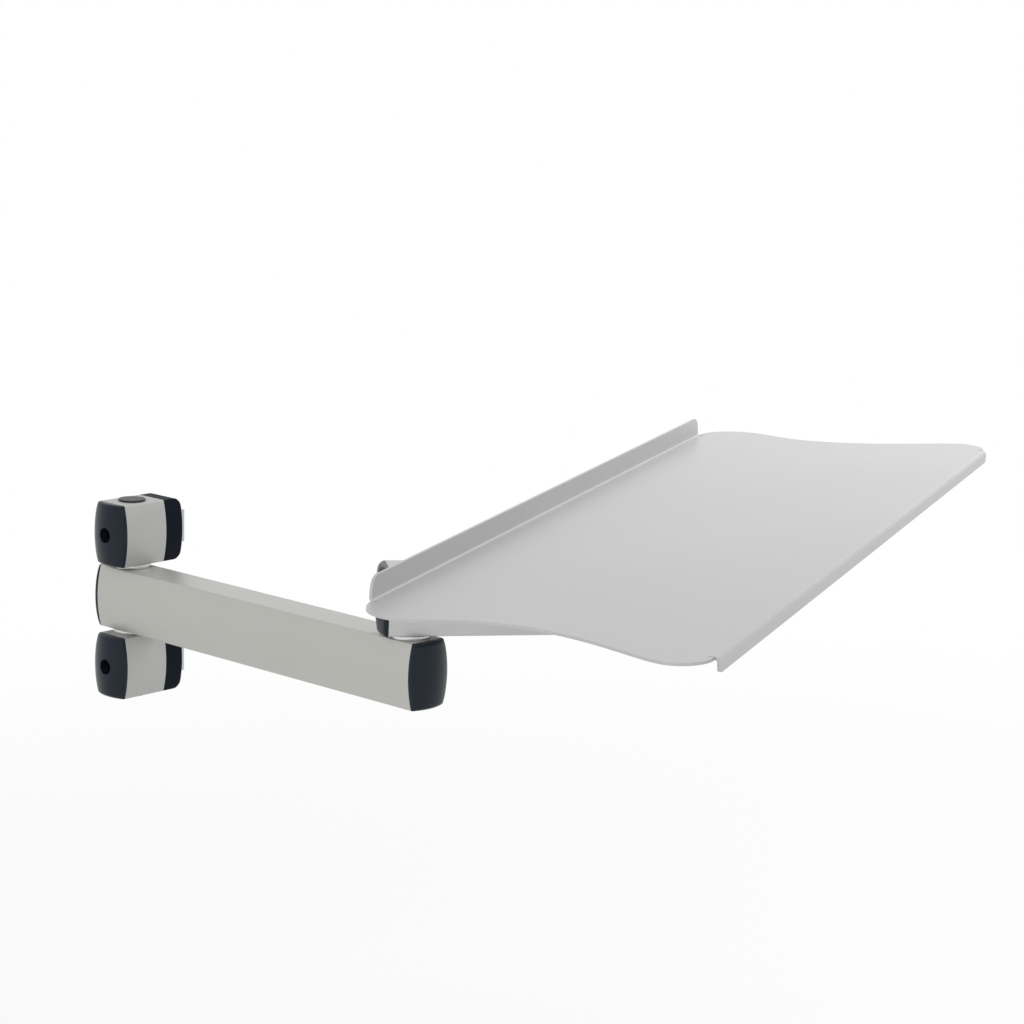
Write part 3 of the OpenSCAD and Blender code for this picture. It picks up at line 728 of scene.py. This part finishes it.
# The middle of the sheet: down the rear lip, round its fold, over the flat, round the front fold
# and down the front lip. Both lips have rounded corners.
turn = np.linspace(0, np.pi / 2, 8)
rear_rise = np.concatenate([rear_lip_corner * (1 - np.cos(turn)), [rear_lip_h]])
rear_half = rear_lip / 2 - rear_lip_corner * (1 - np.sin(np.append(turn, np.pi / 2)))
rear_path = np.stack([
    0 * rear_rise + rear_y + sheet_t / 2, flat_z + fold_r + rear_lip_h - rear_rise
], 1)
fold_in = np.stack([
    rear_y - fold_back + fold_r * np.cos(turn[1:]), flat_z + fold_r - fold_r * np.sin(turn[1:])
], 1)
front_y = rear_y - depth
fold_out = np.stack([
    front_y + fold_front - fold_r * np.sin(turn[1:]), flat_z - fold_r + fold_r * np.cos(turn[1:])
], 1)
front_drop = front_lip_h - front_lip_corner * (1 - np.sin(turn))
front_half = front_lip / 2 - front_lip_corner * (1 - np.cos(turn))
front_path = np.stack([0 * front_drop + front_y + sheet_t / 2, flat_z - fold_r - front_drop], 1)

flat = rows >= fold_back - 1e-6
flat_path = np.stack([rear_y - rows[flat], 0 * rows[flat] + flat_z], 1)
middle_path = np.concatenate([rear_path, fold_in[:-1], flat_path, fold_out, front_path])
middle_half = np.concatenate([
    rear_half,
    0 * fold_in[:-1, 0] + rear_lip / 2,
    (seam - slot_gap)[flat],
    0 * fold_out[:, 0] + front_lip / 2,
    front_half,
])
across = np.linspace(-1, 1, 81)
middle_sheet = np.stack([
    middle_half[:, None] * across,
    middle_path[:, 0, None] + 0 * across,
    middle_path[:, 1, None] + 0 * across,
], -1)
share = np.linspace(0, 1, 13)
end_x = (seam + slot_gap)[:, None] * (1 - share) + half_width[:, None] * share
end_sheet = np.stack([end_x, (rear_y - rows)[:, None] + 0 * share, 0 * end_x + flat_z], -1)

silver_coat, shader, place = finish_of("silver_coat", 0.35, {"IOR": 1.5})
flake = noise(place, 3500, 2.0)
peel = noise(place, 420, 2.0)
cloud = noise(place, 9, 2.0)
paint(
    shader,
    Base_Color=tint(flake * 0.5 + cloud * 0.5, (0.485, 0.485, 0.485), (0.585, 0.585, 0.58)),
    Roughness=flake * 0.10 + cloud * 0.05 + 0.30,
    Normal=relief(peel * 0.7 + flake * 0.3, 0.2, 0.00005),
)


def folded(made, thickness, edge):
    """Gives a sheet's middle surface its thickness and rounds the cut edges."""
    thick = made.modifiers.new("thickness", "SOLIDIFY")
    thick.thickness = thickness
    thick.offset = 0
    thick.use_even_offset = True
    soften(made, edge, 2, 50)
    return made


tray_place = (tray_axis.x, tray_axis.y, 0)
other_end = end_sheet * [-1, 1, 1]
sheets = [
    (placed(grid, tray_place, tray_turn), (False, False))
    for grid in (middle_sheet, end_sheet, other_end)
]
tray = piece("tray_folded_sheet", sheets, "tray", ["tray_sheet"], silver_coat)
folded(tray, sheet_t, 0.45 * mm)


# Tray bracket: a steel strip folded to a channel with outward flanges, powder-coated black. The
# tray bolt stands in its floor, and four welded studs hold the tray on its flanges.
steel_t = 3 * mm
bend_r = 1.5 * mm
mid_r = bend_r + steel_t / 2
floor_half = 32 * mm
bracket_half = 45 * mm
bend_at = floor_half - steel_t - bend_r
flange_start = floor_half + 3 * mm
flange_end = floor_half + 26 * mm
corner = 6 * mm
turn = np.linspace(0, np.pi / 2, 7)
low_z, high_z = bracket_low.z + steel_t / 2, bracket_high.z - steel_t / 2
flange = np.append(
    np.linspace(flange_start, flange_end - corner, 5), flange_end - corner + corner * np.sin(turn[1:])
)
path = np.concatenate([
    np.stack([np.linspace(0, bend_at, 8)[:-1], np.full(7, low_z)], 1),
    np.stack([bend_at + mid_r * np.sin(turn), low_z + mid_r * (1 - np.cos(turn))], 1),
    np.stack([floor_half + bend_r - mid_r * np.cos(turn), high_z - mid_r * (1 - np.sin(turn))], 1),
    np.stack([flange, 0 * flange + high_z], 1),
])
near_end = np.clip(path[:, 0] - flange_end + corner, 0, corner)
half_len = bracket_half - corner + np.sqrt(corner**2 - near_end**2)
path = np.concatenate([path[::-1] * [-1, 1], path[1:]])
half_len = np.concatenate([half_len[::-1], half_len[1:]])
across = np.linspace(-1, 1, 25)
strip = np.stack([
    path[:, 0, None] + 0 * across, half_len[:, None] * across, path[:, 1, None] + 0 * across
], -1)
powder_coat, shader, place = finish_of("black_powder_coat", 0.0, {"IOR": 1.5})
speck = noise(place, 1100, 3.0)
cloud = noise(place, 30, 2.0)
paint(
    shader,
    Base_Color=tint(speck * 0.4 + cloud * 0.6, (0.020, 0.020, 0.022), (0.034, 0.034, 0.037)),
    Roughness=speck * 0.15 + 0.42,
    Normal=relief(speck, 0.5, 0.00012),
)
bracket = piece(
    "tray_channel_bracket", [(placed(strip, tray_place, tray_turn), (False, False))],
    "tray", ["tray_bracket"], powder_coat,
)
folded(bracket, steel_t, 0.4 * mm)


# Clamp screws: socket screws coloured near black, turned by a key through the front caps. Each one runs
# through its block, the pin and the spacer, and is threaded where its slot nut grips it.
facing = np.linspace(0, 2 * np.pi, 72, endpoint=False)
unit = np.stack([np.cos(facing), np.sin(facing)], 1)


def hexagon(flats, limit):
    """Hexagon of a width across its flats, with its corners turned down to the radius limit."""
    radius = flats / 2 / np.cos(facing % (np.pi / 3) - np.pi / 6)
    return unit * np.minimum(radius, limit)[:, None]


def thread(start, end, radius, pitch):
    """Rings of a screw thread. The radius falls by up to 0.6 of the pitch in a triangle wave that
    moves on by one pitch for each turn, and the fall fades out over half a pitch at both ends."""
    rings = []
    for station in np.linspace(start, end, int(8 * abs(end - start) / pitch)):
        wave = np.abs(2 * ((station / pitch - facing / (2 * np.pi)) % 1) - 1)
        fade = min(1, 2 * min(abs(station - start), abs(station - end)) / pitch)
        rings.append(ring(station, unit * (radius - 0.6 * pitch * fade * wave)[:, None]))
    return rings


screw_low, screw_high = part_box("clamp_screws")
head_top, screw_tip = -screw_low.y, -screw_high.y
head_r, head_bevel = 6.5 * mm, 0.5 * mm
key_socket, socket_floor = hexagon(5.2 * mm, 3 * mm), head_top - 2.3 * mm
screw_r, screw_pitch = 4 * mm, 1.25 * mm
thread_from, run_out = 10 * mm, 0.6 * mm
screw = np.stack([
    ring(socket_floor, unit * 0),
    ring(socket_floor, key_socket),
    ring(head_top, key_socket),
    ring(head_top, unit * (head_r - head_bevel)),
    ring(head_top - head_bevel, unit * head_r),
    ring(head_seat, unit * head_r),
    ring(head_seat, unit * screw_r),
    *thread(thread_from, screw_tip + run_out, screw_r, screw_pitch),
    ring(screw_tip, unit * 3.3 * mm),
    ring(screw_tip, unit * 0),
])
# The screws are coloured near black; their heads show only deep in the key holes.
near_black_screw_finish = plated("near_black_screw_finish", (0.030, 0.030, 0.033), (0.055, 0.055, 0.060), 0.34)
piece(
    "clamp_socket_screws",
    [(placed(screw, (0, 0, side * block_z), -np.pi / 2), (False, True)) for side in (1, -1)],
    "clamp", ["clamp_screws"], near_black_screw_finish,
)


# Tray studs and nuts: four threaded studs welded under the sheet, which stand through the
# bracket's flanges, and their plated hexagon nuts with turned-down corners.
nut_low, nut_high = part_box("bracket_nuts")
stud_r, stud_pitch, stud_run_out = 2.5 * mm, 0.8 * mm, 0.4 * mm
stud = np.stack([
    ring(tray_under, unit * 0),
    ring(tray_under, unit * stud_r),
    *thread(tray_under - stud_run_out, sheet_low.z + stud_run_out, stud_r, stud_pitch),
    ring(sheet_low.z, unit * 2 * mm),
    ring(sheet_low.z, unit * 0),
])


def nut_half(face_z, inwards):
    """Rings of half a nut from its bore out over one face and down to its full hexagon. A ring is
    so far inwards from the face, and its corners are turned down to so large a radius."""
    flats = 8 * mm
    return [
        ring(face_z + inwards * 0.4 * mm, unit * 2.15 * mm),
        ring(face_z, unit * 2.55 * mm),
        ring(face_z, hexagon(flats, 3.9 * mm)),
        ring(face_z + inwards * 0.35 * mm, hexagon(flats, 4.3 * mm)),
        ring(face_z + inwards * 0.6 * mm, hexagon(flats, 5 * mm)),
    ]


nut = np.stack(nut_half(nut_low.z, 1) + nut_half(nut_high.z, -1)[::-1])
stud_places = [np.array([x, y, 0]) * mm for x in (-45, 45) for y in (-32, 32)]
zinc = plated("zinc_plate", (0.46, 0.47, 0.49), (0.60, 0.61, 0.62), 0.28)
for name, rings, closed, node in (
    ("tray_threaded_studs", stud, False, "tray_sheet"),
    ("bracket_hexagon_nuts", nut, True, "bracket_nuts"),
):
    stood_up = rings[..., [1, 2, 0]]
    grids = [
        (placed(stood_up + stud_place, tray_place, tray_turn), (closed, True))
        for stud_place in stud_places
    ]
    piece(name, grids, "tray", [node], zinc)


# Slot nuts and the pieces inside the pivots: zinc-plated nuts, turned steel bolts and pin, sawn
# aluminium cores and natural acetal bushes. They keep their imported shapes, with broken edges.
touching = 0.001 * mm


def dressed(finish, edge, *nodes):
    """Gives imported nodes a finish, merges their loose faces and breaks their sharp edges."""
    for node in nodes:
        made = frame["nodes"][node]
        for material_slot in made.material_slots:
            material_slot.material = finish
        weld = made.modifiers.new("merged", "WELD")
        weld.merge_threshold = touching
        soften(made, edge, 2, 40)


steel = plated("turned_steel", (0.44, 0.44, 0.45), (0.58, 0.58, 0.59), 0.24)
sawn = plated("sawn_cores", (0.48, 0.48, 0.49), (0.60, 0.60, 0.61), 0.40)
acetal = moulded("natural_acetal", (0.70, 0.68, 0.61), (0.78, 0.76, 0.70), 0.35)
dressed(zinc, 0.5 * mm, "slot_nuts")
dressed(steel, 0.3 * mm, "pivot_pin", "elbow_bolt", "elbow_nut", "tray_bolt", "tray_nut")
dressed(sawn, 0.1 * mm, "arm_cores", "link_cores")
dressed(acetal, 0.1 * mm, "arm_bush", "link_bush", "bracket_bush")
